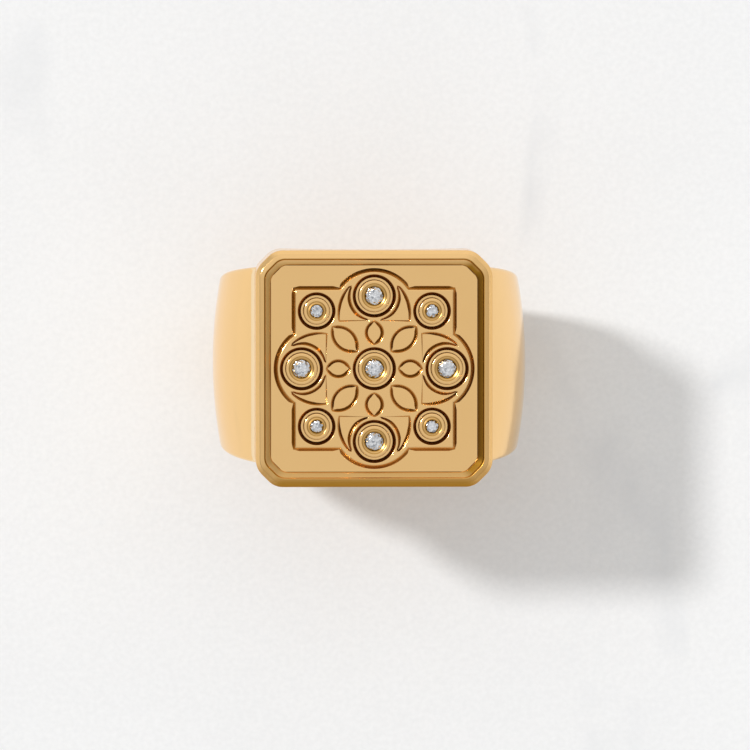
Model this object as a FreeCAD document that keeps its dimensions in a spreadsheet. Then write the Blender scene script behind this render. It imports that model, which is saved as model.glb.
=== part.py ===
"""Signet ring: a domed band, a square head with cut corners, a pierced emblem and nine set stones.

Millimetres. The origin is the centre of the finger hole, +Y runs along the finger, +Z points
through the face of the ring and +X to the right of the face.
"""

import FreeCAD, Part
import math
import os
import re
import Sketcher

# Driving dimensions.
driving = {
    # band
    "finger_radius": 8.65,  # US size 7
    "band_wall": 1.6,  # at the middle of the band's width
    "dome_drop": 0.98,  # from the crown down to the band's edge under the head's wall
    "back_width": 7.0,
    "side_bow": 100.0,  # radius of the band's edge from the back to the shoulder
    "shoulder_step": 1.225,  # from the head's wall in to the band's edge at the shoulder
    "flare_drop": 0.5,  # from the crown down to where the flare would meet the head's wall
    "band_edge_round": 0.5,
    "comfort_round": 0.3,
    # head
    "head_width": 15.2,
    "corner_cut": 1.35,
    "corner_round": 0.5,
    "rim_bevel": 0.3,
    "rim_flat": 0.25,
    "rim_slope": 0.41,
    "recess_depth": 0.5,
    "table_thickness": 1.1,
    "seam": 0.02,  # between soldered pieces
    # stones and their collets
    "large_stone": 1.3,
    "small_stone": 0.94,
    "crown_angle": 34.5,
    "pavilion_angle": 41.0,
    "stone_table": 0.55,  # share of the stone's width
    "girdle_share": 0.03,  # share of the stone's width
    "collet_wall": 0.38,  # outside the girdle
    "collet_rim": 0.15,  # from the girdle out to the top of the countersink
    "collet_lip": 0.05,  # from the girdle in over the crown
    "collet_bevel": 0.08,
    "collet_floor": 0.25,  # below the stone's point
    "collet_proud": 0.1,  # above the emblem
    "collet_bore": 0.2,  # from the girdle in to the hole under the stone
    "stone_gap": 0.015,
    # emblem
    "emblem_height": 0.35,
    "emblem_margin": 0.29,
    "lobe_radius": 2.75,
    "lobe_step": 1.15,  # how far the lobes stand out past the square
    "well_gap": 0.25,
    "ridge": 0.4,
    "lobe_border": 0.5,
    "leaf_ridge": 0.35,
    "leaf_spacing": 0.88,  # between the straight ends of a lobe's two leaves
    "short_petal": 1.0,  # width
    "long_petal": 1.2,  # width
}

# Dimensions that follow from them.
derived = {
    "band_radius": "finger_radius + band_wall",
    "back_half": "back_width / 2",
    "head_half": "head_width / 2",
    "shoulder_half": "head_half - shoulder_step",
    "barrel_half": "head_half + 0.5",
    "crown_radius": "(head_half ^ 2 + dome_drop ^ 2) / (2 * dome_drop)",
    # the rounds are limited by the wall at the band's widest, beside the head
    "edge_wall": "band_wall - dome_drop",
    "outer_round": "min(band_edge_round; edge_wall * 0.85)",
    "inner_round": "min(comfort_round; edge_wall / 2)",
    # the flare leaves the shoulder in the direction in which the bowed side reaches it
    "shoulder_height": "sqrt(band_radius ^ 2 - head_half ^ 2)",
    "flare_top": "band_radius - flare_drop",
    "side_rise": "shoulder_height + band_radius",
    "side_run": "hypot(shoulder_half - back_half; side_rise)",
    "side_lean": "atan((shoulder_half - back_half) / side_rise)",
    "shoulder_lean": "side_lean - asin(side_run / (2 * side_bow))",
    "flare_run": "hypot(head_half - shoulder_half; flare_top - shoulder_height)",
    "flare_lean": "atan((head_half - shoulder_half) / (flare_top - shoulder_height))",
    "flare_radius": "flare_run / (2 * sin(flare_lean - shoulder_lean))",
    "table_half": "head_half - rim_bevel - rim_flat - rim_slope",
    "table_cut": "corner_cut - (head_half - table_half) * (2 - sqrt(2))",
    "slope_half": "table_half + rim_slope",
    "slope_cut": "corner_cut - (head_half - slope_half) * (2 - sqrt(2))",
    "plate_floor": "band_radius + seam",
    "table_top": "plate_floor + table_thickness",
    "rim_top": "table_top + recess_depth",
    "emblem_top": "table_top + emblem_height",
    "collet_top": "emblem_top + collet_proud",
}
for kind in ("large", "small"):
    derived |= {
        f"girdle_{kind}": f"{kind}_stone / 2",
        f"socket_{kind}": f"girdle_{kind} + collet_wall",
        f"well_{kind}": f"socket_{kind} + well_gap",
        f"girdle_top_{kind}": f"collet_top - girdle_{kind} * (1 - stone_table) * tan(crown_angle)",
        f"girdle_foot_{kind}": f"girdle_top_{kind} - {kind}_stone * girdle_share",
        f"stone_point_{kind}": f"girdle_foot_{kind} - girdle_{kind} * tan(pavilion_angle)",
        f"collet_foot_{kind}": f"stone_point_{kind} - collet_floor",
    }
derived |= {
    "emblem_reach": "table_half - emblem_margin",
    "lobe_centre": "emblem_reach - lobe_radius",
    "square_half": "emblem_reach - lobe_step",
    "lobe_stone": "emblem_reach - ridge - well_large",
    "corner_stone": "square_half - ridge - well_small",
    "corner_run": "hypot(corner_stone - lobe_centre; corner_stone)",
    "leaf_radius": "min(lobe_radius - lobe_border; corner_run - well_small - leaf_ridge)",
    "well_ring": "well_large + leaf_ridge",
    "leaf_start": "lobe_stone - sqrt(well_ring ^ 2 - (leaf_spacing / 2) ^ 2)",
    "short_petal_end": "lobe_stone - well_large - ridge",
    "long_petal_end": "corner_stone * sqrt(2) - well_small - ridge",
}

# Where each stone stands on the table, and its kind.
settings = [
    ("0", "0", "large"),
    ("lobe_stone", "0", "large"),
    ("0", "lobe_stone", "large"),
    ("-lobe_stone", "0", "large"),
    ("0", "-lobe_stone", "large"),
    ("corner_stone", "corner_stone", "small"),
    ("-corner_stone", "corner_stone", "small"),
    ("-corner_stone", "-corner_stone", "small"),
    ("corner_stone", "-corner_stone", "small"),
]

touch = 1e-4  # closer than this is the same place

doc = FreeCAD.newDocument("signet_ring")
sheet = doc.addObject("Spreadsheet::Sheet", "sizes")
for row, (name, content) in enumerate({**driving, **derived}.items(), start=1):
    formula = f"={content}" if name in derived else str(content)
    sheet.set(f"A{row}", name)
    sheet.set(f"B{row}", formula)
    sheet.setAlias(f"B{row}", name)
doc.recompute()


def bound(text):
    """The expression with each size's name tied to the sheet."""
    names = driving.keys() | derived.keys()
    return re.sub(
        r"[a-z]+(_[a-z]+)*",
        lambda word: f"sizes.{word[0]}" if word[0] in names else word[0],
        text,
    )


def number(text):
    """What an expression in the sheet's sizes comes to."""
    return float(sheet.evalExpression(bound(text)))


# Sketches


def add_sketch(body, name, role, lift="0"):
    """A sketch on one of the body's own planes, lifted along the plane's normal."""
    sketch = body.newObject("Sketcher::SketchObject", name)
    planes = [plane for plane in body.Origin.OriginFeatures if plane.Role == role]
    sketch.AttachmentSupport = [(planes[0], "")]
    sketch.MapMode = "FlatFace"
    sketch.setExpression("AttachmentOffset.Base.z", bound(lift))
    return sketch


def bind(sketch, constraint, text):
    """Adds the constraint and ties its value to the sheet."""
    index = sketch.addConstraint(constraint)
    sketch.setExpression(f"Constraints[{index}]", bound(text))


def fix_point(sketch, geometry, end, across, up):
    """Ties a point of the sketch to its place, across and up from the sketch's origin."""
    bind(sketch, Sketcher.Constraint("DistanceX", -1, 1, geometry, end, number(across)), across)
    bind(sketch, Sketcher.Constraint("DistanceY", -1, 1, geometry, end, number(up)), up)


def arc_middle(start, stop, radius, side):
    """The middle of an arc from start to stop that swings out to the right (1) or the left (-1)."""
    chord = stop - start
    sagitta = radius - math.sqrt(radius**2 - (chord.Length / 2) ** 2)
    right = FreeCAD.Vector(chord.y, -chord.x, 0).normalize()
    return (start + stop) * 0.5 + right * side * sagitta


def draw_outline(sketch, corners, arcs=None):
    """A closed outline through the corners.

    arcs says which sides are arcs: the side's number, its radius and the hand it swings out to.
    """
    arcs = arcs or {}
    points = [FreeCAD.Vector(number(across), number(up), 0) for across, up in corners]
    ends = []
    for side, start in enumerate(points):
        stop = points[(side + 1) % len(points)]
        if side in arcs:
            radius, hand = arcs[side]
            middle = arc_middle(start, stop, number(radius), hand)
            line = sketch.addGeometry(Part.Arc(start, middle, stop), False)
        else:
            line = sketch.addGeometry(Part.LineSegment(start, stop), False)
        forward = sketch.getPoint(line, 1).distanceToPoint(start) < touch
        ends.append((line, 1, 2) if forward else (line, 2, 1))
    for side, (line, _, last) in enumerate(ends):
        following, first, _ = ends[(side + 1) % len(ends)]
        sketch.addConstraint(Sketcher.Constraint("Coincident", line, last, following, first))
    for (line, first, _), (across, up) in zip(ends, corners):
        fix_point(sketch, line, first, across, up)
    for side, (radius, _) in arcs.items():
        bind(sketch, Sketcher.Constraint("Radius", ends[side][0], number(radius)), radius)


def draw_circle(sketch, across, up, radius):
    centre = FreeCAD.Vector(number(across), number(up), 0)
    circle = Part.Circle(centre, FreeCAD.Vector(0, 0, 1), number(radius))
    line = sketch.addGeometry(circle, False)
    fix_point(sketch, line, 3, across, up)
    bind(sketch, Sketcher.Constraint("Radius", line, number(radius)), radius)


def cut_square(half, cut):
    """The corners of a square with its corners cut off, from half its width and the cut."""
    edge = f"({half} - ({cut}))"
    return [
        (half, f"-{edge}"),
        (half, edge),
        (edge, half),
        (f"-{edge}", half),
        (f"-{half}", edge),
        (f"-{half}", f"-{edge}"),
        (f"-{edge}", f"-{half}"),
        (edge, f"-{half}"),
    ]


# Features


def edges_where(feature, test):
    """Names of the edges of a feature whose ends and middle all pass the test."""
    names = []
    for count, edge in enumerate(feature.Shape.Edges, start=1):
        middle = edge.valueAt((edge.FirstParameter + edge.LastParameter) / 2)
        if all(test(point) for point in [middle] + [vertex.Point for vertex in edge.Vertexes]):
            names.append(f"Edge{count}")
    return names


def revolve(body, kind, name, sketch, axis):
    feature = body.newObject(f"PartDesign::{kind}", name)
    feature.Profile = sketch
    feature.ReferenceAxis = (sketch, [axis])
    feature.Angle = 360
    doc.recompute()
    return feature


def pad(body, name, sketch, length):
    feature = body.newObject("PartDesign::Pad", name)
    feature.Profile = sketch
    feature.setExpression("Length", bound(length))
    doc.recompute()
    return feature


def pocket(body, name, sketch):
    """A pocket through the whole body, to both sides of the sketch."""
    feature = body.newObject("PartDesign::Pocket", name)
    feature.Profile = sketch
    feature.Type = "ThroughAll"
    feature.Midplane = True
    doc.recompute()
    return feature


def soften(body, kind, name, base, edges, size):
    """A Fillet or Chamfer of one size on edges of the base feature."""
    feature = body.newObject(f"PartDesign::{kind}", name)
    feature.Base = (base, edges)
    feature.setExpression("Radius" if kind == "Fillet" else "Size", bound(size))
    doc.recompute()
    return feature


# The band's outside: a barrel round the finger, domed across its width


def barrel(half, spare):
    """Half section of the barrel as corners and arcs, from the crown down to the finger's side.

    spare is added to the barrel's radius.
    """
    crown = f"band_radius + {spare} - crown_radius"
    edge = f"{crown} + sqrt(crown_radius ^ 2 - {half} ^ 2)"
    return [(half, edge), (f"-{half}", edge)], {0: ("crown_radius", 1)}


def make_shank():
    body = doc.addObject("PartDesign::Body", "shank")
    section = add_sketch(body, "band_section", "YZ_Plane")
    outside, arcs = barrel("barrel_half", "0")
    inside = [("-barrel_half", "finger_radius"), ("barrel_half", "finger_radius")]
    draw_outline(section, outside + inside, arcs)
    revolve(body, "Revolution", "band", section, "H_Axis")

    # everything beside the bowed side and the flare goes
    taper = add_sketch(body, "taper_outline", "YZ_Plane")
    clear = "(barrel_half + band_wall)"
    below = "-(band_radius + band_wall)"
    right = [
        ("back_half", below),
        ("back_half", "-band_radius"),
        ("shoulder_half", "shoulder_height"),
        ("head_half", "flare_top"),
        (clear, "flare_top"),
        (clear, below),
    ]
    left = [(f"-{across}", up) for across, up in reversed(right)]
    draw_outline(taper, right, {1: ("side_bow", 1), 2: ("flare_radius", -1)})
    draw_outline(taper, left, {3: ("side_bow", 1), 2: ("flare_radius", -1)})
    band = pocket(body, "taper", taper)

    def on_rim(point, radius):
        off_seam = abs(point.y) > number("back_half") - touch
        return off_seam and abs(math.hypot(point.x, point.z) - radius) < touch

    def outside_edge(point):
        dome = math.sqrt(number("crown_radius") ** 2 - point.y**2)
        return on_rim(point, number("band_radius - crown_radius") + dome)

    def inside_edge(point):
        return on_rim(point, number("finger_radius"))

    edges = edges_where(band, outside_edge)
    band = soften(body, "Fillet", "edge_round", band, edges, "outer_round")
    edges = edges_where(band, inside_edge)
    soften(body, "Fillet", "comfort_fit", band, edges, "inner_round")
    return body


def make_frame():
    body = doc.addObject("PartDesign::Body", "head_frame")
    plan = add_sketch(body, "frame_plan", "XY_Plane")
    draw_outline(plan, cut_square("head_half", "corner_cut"))
    block = pad(body, "block", plan, "rim_top")

    uprights = [
        f"Edge{count}"
        for count, edge in enumerate(block.Shape.Edges, start=1)
        if abs(edge.Vertexes[0].Z - edge.Vertexes[-1].Z) > touch
    ]
    block = soften(body, "Fillet", "corners", block, uprights, "corner_round")
    edges = edges_where(block, lambda point: point.z > number("rim_top") - touch)
    soften(body, "Chamfer", "rim_outside", block, edges, "rim_bevel")

    hollow = add_sketch(body, "hollow_plan", "XY_Plane")
    draw_outline(hollow, cut_square("table_half", "table_cut"))
    pocket(body, "hollow", hollow)

    foot = add_sketch(body, "slope_foot", "XY_Plane", "table_top")
    draw_outline(foot, cut_square("table_half", "table_cut"))
    head = add_sketch(body, "slope_head", "XY_Plane", "rim_top")
    draw_outline(head, cut_square("slope_half", "slope_cut"))
    slope = body.newObject("PartDesign::SubtractiveLoft", "rim_inside")
    slope.Profile = foot
    slope.Sections = [head]
    slope.Ruled = True
    doc.recompute()

    # scribed to the band
    saddle = add_sketch(body, "saddle_section", "YZ_Plane")
    outside, arcs = barrel("barrel_half", "seam")
    axis = [("-barrel_half", "0"), ("barrel_half", "0")]
    draw_outline(saddle, outside + axis, arcs)
    revolve(body, "Groove", "saddle", saddle, "H_Axis")
    return body


def make_plate():
    body = doc.addObject("PartDesign::Body", "table_plate")
    plan = add_sketch(body, "plate_plan", "XY_Plane", "plate_floor")
    draw_outline(plan, cut_square("(table_half - seam)", "table_cut - seam * (2 - sqrt(2))"))
    pad(body, "plate", plan, "table_thickness")
    for kind in ("large", "small"):
        holes = add_sketch(body, f"{kind}_holes", "XY_Plane", f"collet_foot_{kind}")
        for across, up, size in settings:
            if size == kind:
                draw_circle(holes, across, up, f"socket_{kind} + seam")
        sockets = body.newObject("PartDesign::Pocket", f"{kind}_sockets")
        sockets.Profile = holes
        sockets.Type = "ThroughAll"
        sockets.Reversed = True
        doc.recompute()
    return body


# The emblem: a quatrefoil laid over a square, pierced by wells, petals and leaves


def cylinder(name, radius, across="0", up="0", floor="table_top", height="emblem_height"):
    piece = doc.addObject("Part::Cylinder", name)
    piece.setExpression("Radius", bound(radius))
    piece.setExpression("Height", bound(height))
    piece.setExpression("Placement.Base.x", bound(across))
    piece.setExpression("Placement.Base.y", bound(up))
    piece.setExpression("Placement.Base.z", bound(floor))
    return piece


def cutter(name, radius, across="0", up="0"):
    """A round cutter that passes through the emblem with room to spare."""
    floor = "table_top - emblem_height"
    return cylinder(name, radius, across, up, floor, "3 * emblem_height")


def turned(piece, quarter_turns):
    """Turns a cutter about the emblem's middle."""
    piece.Placement.Rotation = FreeCAD.Rotation(FreeCAD.Vector(0, 0, 1), 90 * quarter_turns)
    return piece


def make_petal(name, start, end, width, quarter_turns):
    """An almond along the way from the middle, where two round cutters overlap."""
    length = f"({end} - {start})"
    radius = f"({length} ^ 2 + {width} ^ 2) / (4 * {width})"
    aside = f"{radius} - {width} / 2"
    middle = f"({start} + {end}) / 2"
    almond = doc.addObject("Part::MultiCommon", name)
    almond.Shapes = [
        cutter(f"{name}_left", radius, middle, f"-({aside})"),
        cutter(f"{name}_right", radius, middle, aside),
    ]
    return turned(almond, quarter_turns)


def make_leaves(name, quarter_turns):
    """The pair of leaves that hug the well in one lobe."""
    crescent = doc.addObject("Part::Cut", f"{name}_crescent")
    crescent.Base = cutter(f"{name}_outside", "leaf_radius", "lobe_centre")
    crescent.Tool = cutter(f"{name}_inside", "well_ring", "lobe_stone")
    middle = doc.addObject("Part::Box", f"{name}_middle")
    middle.setExpression("Length", bound("leaf_start"))
    middle.setExpression("Width", bound("2 * lobe_radius"))
    middle.setExpression("Height", bound("3 * emblem_height"))
    middle.setExpression("Placement.Base.y", bound("-lobe_radius"))
    middle.setExpression("Placement.Base.z", bound("table_top - emblem_height"))
    leaves = doc.addObject("Part::Cut", name)
    leaves.Base = crescent
    leaves.Tool = middle
    return turned(leaves, quarter_turns)


def make_emblem():
    square = doc.addObject("Part::Box", "emblem_square")
    square.setExpression("Length", bound("2 * square_half"))
    square.setExpression("Width", bound("2 * square_half"))
    square.setExpression("Height", bound("emblem_height"))
    square.setExpression("Placement.Base.x", bound("-square_half"))
    square.setExpression("Placement.Base.y", bound("-square_half"))
    square.setExpression("Placement.Base.z", bound("table_top"))
    lobes = [
        cylinder("lobe_right", "lobe_radius", "lobe_centre"),
        cylinder("lobe_top", "lobe_radius", "0", "lobe_centre"),
        cylinder("lobe_left", "lobe_radius", "-lobe_centre"),
        cylinder("lobe_bottom", "lobe_radius", "0", "-lobe_centre"),
    ]
    outline = doc.addObject("Part::MultiFuse", "emblem_outline")
    outline.Shapes = [square] + lobes
    outline.Refine = True

    cells = [
        cutter(f"well_{count}", f"well_{kind}", across, up)
        for count, (across, up, kind) in enumerate(settings, start=1)
    ]
    for quarter in range(4):
        short = ("well_ring", "short_petal_end", "short_petal", quarter)
        long = ("well_ring", "long_petal_end", "long_petal", quarter + 0.5)
        cells.append(make_petal(f"short_petal_{quarter + 1}", *short))
        cells.append(make_petal(f"long_petal_{quarter + 1}", *long))
        cells.append(make_leaves(f"leaves_{quarter + 1}", quarter))
    piercing = doc.addObject("Part::MultiFuse", "emblem_cells")
    piercing.Shapes = cells

    emblem = doc.addObject("Part::Cut", "emblem_relief")
    emblem.Base = outline
    emblem.Tool = piercing
    doc.recompute()
    return emblem


# The settings


def make_collet(count, across, up, kind):
    """A tube with a countersunk mouth, a groove for the girdle and a cone for the pavilion."""
    body = doc.addObject("PartDesign::Body", f"collet_{count}")
    body.setExpression("Placement.Base.x", bound(across))
    body.setExpression("Placement.Base.y", bound(up))
    section = add_sketch(body, f"collet_section_{count}", "XZ_Plane")
    top, foot = f"girdle_top_{kind}", f"girdle_foot_{kind}"
    outside, girdle = f"socket_{kind}", f"girdle_{kind}"
    lip = f"{top} + stone_gap + (collet_lip + stone_gap) * tan(crown_angle)"
    cone = f"{foot} - stone_gap - (collet_bore + stone_gap) * tan(pavilion_angle)"
    corners = [
        (outside, f"collet_foot_{kind}"),
        (outside, "collet_top - collet_bevel"),
        (f"{outside} - collet_bevel", "collet_top"),
        (f"{girdle} + collet_rim", "collet_top"),
        (f"{girdle} - collet_lip", lip),
        (f"{girdle} + stone_gap", f"{top} + stone_gap"),
        (f"{girdle} + stone_gap", f"{foot} - stone_gap"),
        (f"{girdle} - collet_bore", cone),
        (f"{girdle} - collet_bore", f"collet_foot_{kind}"),
    ]
    draw_outline(section, corners)
    revolve(body, "Revolution", f"tube_{count}", section, "V_Axis")
    return body


def ring_of_points(reach, height, turn):
    """Eight points round the stone's axis, the first at this many sixteenths of a turn."""
    angles = [math.pi / 8 * (turn + 2 * step) for step in range(8)]
    return [FreeCAD.Vector(reach * math.cos(a), reach * math.sin(a), height) for a in angles]


def brilliant(kind):
    """A round brilliant of 57 facets, with its girdle's upper edge at height 0."""
    star_share = 0.5  # how far the star facets reach from the table to the girdle
    lower_share = 0.77  # how far the lower girdle facets reach from the girdle to the point
    girdle = number(f"girdle_{kind}")
    crown = math.tan(math.radians(number("crown_angle")))
    pavilion = math.tan(math.radians(number("pavilion_angle")))
    table = girdle * number("stone_table")
    foot = -2 * girdle * number("girdle_share")
    flank = math.cos(math.pi / 8)

    star = table + (girdle - table) * star_share
    lower = girdle * (1 - lower_share)
    table_points = ring_of_points(table, (girdle - table) * crown, 0)
    star_points = ring_of_points(star / flank, (girdle - star) * crown, 1)
    upper = [ring_of_points(girdle, 0, turn) for turn in (0, 1)]
    below = [ring_of_points(girdle, foot, turn) for turn in (0, 1)]
    lower_points = ring_of_points(lower, foot - (girdle - lower * flank) * pavilion, 1)
    point = FreeCAD.Vector(0, 0, foot - girdle * pavilion)

    facets = [table_points]
    for here in range(8):
        after = (here + 1) % 8
        facets += [
            [table_points[here], star_points[here - 1], upper[0][here], star_points[here]],
            [table_points[here], star_points[here], table_points[after]],
            [star_points[here], upper[0][here], upper[1][here]],
            [star_points[here], upper[1][here], upper[0][after]],
            [upper[0][here], below[0][here], below[1][here], upper[1][here]],
            [upper[1][here], below[1][here], below[0][after], upper[0][after]],
            [lower_points[here], below[1][here], below[0][here]],
            [lower_points[here], below[0][after], below[1][here]],
            [point, lower_points[here], below[0][here], lower_points[here - 1]],
        ]
    faces = [Part.Face(Part.makePolygon(facet + facet[:1])) for facet in facets]
    solid = Part.makeSolid(Part.makeShell(faces))
    return solid if solid.Volume > 0 else solid.reversed()


def make_stone(count, across, up, kind):
    stone = doc.addObject("Part::Feature", f"stone_{count}")
    stone.Shape = brilliant(kind)
    stone.setExpression("Placement.Base.x", bound(across))
    stone.setExpression("Placement.Base.y", bound(up))
    stone.setExpression("Placement.Base.z", bound(f"girdle_top_{kind}"))
    return stone


def main():
    pieces = [make_shank(), make_frame(), make_plate(), make_emblem()]
    for count, (across, up, kind) in enumerate(settings, start=1):
        pieces.append(make_collet(count, across, up, kind))
        pieces.append(make_stone(count, across, up, kind))
    doc.recompute()

    for item in doc.Objects:
        if {"Invalid", "Error"} & set(item.State):
            raise RuntimeError(f"{item.Label} failed: {item.State}")
    for piece in pieces:
        shape = piece.Shape
        if shape.isNull() or not shape.isValid() or len(shape.Solids) != 1:
            raise RuntimeError(f"{piece.Label} is not one sound solid")

    os.makedirs("parts", exist_ok=True)
    for piece in pieces:
        piece.Shape.exportStep(f"parts/{piece.Label}.step")
        print(f"{piece.Label}: {piece.Shape.Volume:.3f} mm3")


main()
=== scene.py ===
import bmesh
import bpy
import math
import numpy as np
from mathutils import Matrix, Vector
from mathutils.geometry import delaunay_2d_cdt


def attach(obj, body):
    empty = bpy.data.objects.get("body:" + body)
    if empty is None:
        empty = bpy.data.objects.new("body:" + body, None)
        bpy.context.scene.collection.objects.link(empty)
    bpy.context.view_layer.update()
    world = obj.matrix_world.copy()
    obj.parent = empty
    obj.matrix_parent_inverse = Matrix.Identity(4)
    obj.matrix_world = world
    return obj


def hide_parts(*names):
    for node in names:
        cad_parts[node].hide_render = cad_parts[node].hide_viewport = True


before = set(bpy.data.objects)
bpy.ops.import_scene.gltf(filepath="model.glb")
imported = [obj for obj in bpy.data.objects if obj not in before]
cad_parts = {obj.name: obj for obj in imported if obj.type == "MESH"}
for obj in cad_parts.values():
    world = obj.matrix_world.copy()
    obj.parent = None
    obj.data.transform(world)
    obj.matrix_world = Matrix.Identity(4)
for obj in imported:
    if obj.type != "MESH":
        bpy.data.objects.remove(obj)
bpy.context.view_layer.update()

mm = 0.001
scene = bpy.context.scene
scene.view_settings.view_transform = "Standard"
print("frame loaded:", len(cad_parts), "nodes")


# camera: nearly square on to the face, a little from the upper left
cameraValues = {
    "distance": 500.0,  # mm, from the middle of the face
    "lens": 374.5,
    "sensor": 36.0,
    "near": 0.01,  # metres
    "far": 10.0,
    "fromLeft": 1.74,  # degrees
    "fromTop": 2.5,  # degrees
    "faceHeight": 11.87,  # mm
    "faceAcross": 374.4,  # pixels from the image's left edge
    "faceDown": 368.9,  # pixels from its top
    "imageSide": 750.0,
}


def makeCamera(v):
    data = bpy.data.cameras.new("camera")
    data.lens, data.sensor_width = v["lens"], v["sensor"]
    data.clip_start, data.clip_end = v["near"], v["far"]
    data.shift_x = (v["imageSide"] / 2 - v["faceAcross"]) / v["imageSide"]
    data.shift_y = (v["faceDown"] - v["imageSide"] / 2) / v["imageSide"]
    camera = bpy.data.objects.new("camera", data)
    scene.collection.objects.link(camera)
    left, top = math.radians(v["fromLeft"]), math.radians(v["fromTop"])
    back = Vector((-math.tan(left), math.tan(top), 1.0)).normalized()
    right = Vector((0, 1, 0)).cross(back).normalized()
    turn = Matrix((right, back.cross(right), back)).transposed().to_4x4()
    face = Vector((0, 0, v["faceHeight"] * mm))
    camera.matrix_world = Matrix.Translation(face + back * v["distance"] * mm) @ turn
    scene.camera = camera


makeCamera(cameraValues)
print("camera made")


# a number in a node tree that understands + - * / and a few functions
class treeNumber:
    def __init__(self, tree, socket):
        self.tree, self.socket = tree, socket

    def maths(self, operation, *others):
        inputs = dict(enumerate((self,) + others))
        node = addNode(self.tree, "ShaderNodeMath", inputs, operation=operation)
        return treeNumber(self.tree, node.outputs[0])

    def __add__(self, other):
        return self.maths("ADD", other)

    def __sub__(self, other):
        return self.maths("SUBTRACT", other)

    def __mul__(self, other):
        return self.maths("MULTIPLY", other)

    def __truediv__(self, other):
        return self.maths("DIVIDE", other)

    def __neg__(self):
        return self.maths("MULTIPLY", -1.0)

    def __rsub__(self, other):
        return -self + other

    __radd__ = __add__
    __rmul__ = __mul__

    def square(self):
        return self * self

    def root(self):
        return self.maths("MAXIMUM", 0.0).maths("SQRT")


def pick(switch, whenOne, whenNought):
    return whenNought + (whenOne - whenNought) * switch


# trees of nodes
def setInputs(tree, node, values):  # each a socket, a treeNumber or a plain value
    for name, value in values.items():
        if isinstance(value, treeNumber):
            value = value.socket
        if isinstance(value, bpy.types.NodeSocket):
            tree.links.new(value, node.inputs[name])
        else:
            node.inputs[name].default_value = value


def addNode(tree, kind, inputs=None, **settings):
    node = tree.nodes.new(kind)
    for name, value in settings.items():
        setattr(node, name, value)
    setInputs(tree, node, inputs or {})
    return node


def splitVector(tree, vector):  # its x, y and z
    node = addNode(tree, "ShaderNodeSeparateXYZ", {"Vector": vector})
    return [treeNumber(tree, socket) for socket in node.outputs]


def newTree(name, values):  # Geometry Nodes, with named inputs and each value as the default
    tree = bpy.data.node_groups.new(name, "GeometryNodeTree")
    face = tree.interface
    face.new_socket("Geometry", in_out="INPUT", socket_type="NodeSocketGeometry")
    for label, value in values.items():
        kind = "NodeSocketInt" if isinstance(value, int) else "NodeSocketFloat"
        face.new_socket(label, in_out="INPUT", socket_type=kind).default_value = value
    face.new_socket("material", in_out="INPUT", socket_type="NodeSocketMaterial")
    face.new_socket("Geometry", in_out="OUTPUT", socket_type="NodeSocketGeometry")
    return tree, tree.nodes.new("NodeGroupInput"), tree.nodes.new("NodeGroupOutput")


def numbersOf(tree, source, names):
    return {name: treeNumber(tree, source.outputs[name]) for name in names}


def attribute(tree, name):
    node = addNode(tree, "GeometryNodeInputNamedAttribute", {"Name": name}, data_type="FLOAT")
    return treeNumber(tree, node.outputs["Attribute"])


def placeOf(tree):  # x, y and z of each point
    return splitVector(tree, addNode(tree, "GeometryNodeInputPosition").outputs[0])


def placeAt(tree, geometry, x, y, z):  # millimetres in, metres out
    spot = addNode(tree, "ShaderNodeCombineXYZ", {"X": x * mm, "Y": y * mm, "Z": z * mm})
    inputs = {"Geometry": geometry, "Position": spot.outputs[0]}
    return addNode(tree, "GeometryNodeSetPosition", inputs).outputs[0]


def endTree(tree, source, sink, geometry):
    real = addNode(tree, "GeometryNodeRealizeInstances", {"Geometry": geometry})
    inputs = {"Geometry": real.outputs[0], "Material": source.outputs["material"]}
    painted = addNode(tree, "GeometryNodeSetMaterial", inputs)
    tree.links.new(painted.outputs[0], sink.inputs[0])


def runTree(piece, tree, values, material):  # leaves a plain mesh
    modifier = piece.modifiers.new("rule", "NODES")
    modifier.node_group = tree
    for item in tree.interface.items_tree:
        if item.item_type == "SOCKET" and item.in_out == "INPUT":
            if item.name in values:
                modifier[item.identifier] = values[item.name]
            elif item.name == "material":
                modifier[item.identifier] = material
    bpy.context.view_layer.update()
    graph = bpy.context.evaluated_depsgraph_get()
    made = bpy.data.meshes.new_from_object(piece.evaluated_get(graph))
    piece.modifiers.clear()
    piece.data = made
    made.name = piece.name


# plain meshes
def newPiece(name, points, faces=(), edges=(), material=None):
    mesh = bpy.data.meshes.new(name)
    mesh.from_pydata([tuple(p) for p in points], list(edges), list(faces))
    if material:
        mesh.materials.append(material)
    piece = bpy.data.objects.new(name, mesh)
    scene.collection.objects.link(piece)
    return piece


def addAttribute(piece, name, values):
    layer = piece.data.attributes.new(name, "FLOAT", "POINT")
    layer.data.foreach_set("value", values)


def mendNormals(piece, weld=1e-7):  # doubles merged, faces outwards
    work = bmesh.new()
    work.from_mesh(piece.data)
    bmesh.ops.remove_doubles(work, verts=work.verts, dist=weld)
    bmesh.ops.recalc_face_normals(work, faces=work.faces)
    if work.calc_volume(signed=True) < 0:
        bmesh.ops.reverse_faces(work, faces=work.faces)
    work.to_mesh(piece.data)
    work.free()


def setSmooth(piece, smooth):
    piece.data.polygons.foreach_set("use_smooth", [smooth] * len(piece.data.polygons))


def smoothUpTo(piece, degrees):
    setSmooth(piece, True)
    piece.data.set_sharp_from_angle(angle=math.radians(degrees))


def handIn(piece, slot, *nodes):
    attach(piece, "root")
    if nodes:
        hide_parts(*nodes)
    print(piece.name, "made:", len(piece.data.polygons), "faces")


# materials
def newMaterial(name):
    made = bpy.data.materials.new(name)
    made.use_nodes = True
    tree = made.node_tree
    place = addNode(tree, "ShaderNodeTexCoord").outputs["Object"]
    return made, tree, tree.nodes["Principled BSDF"], place


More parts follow.
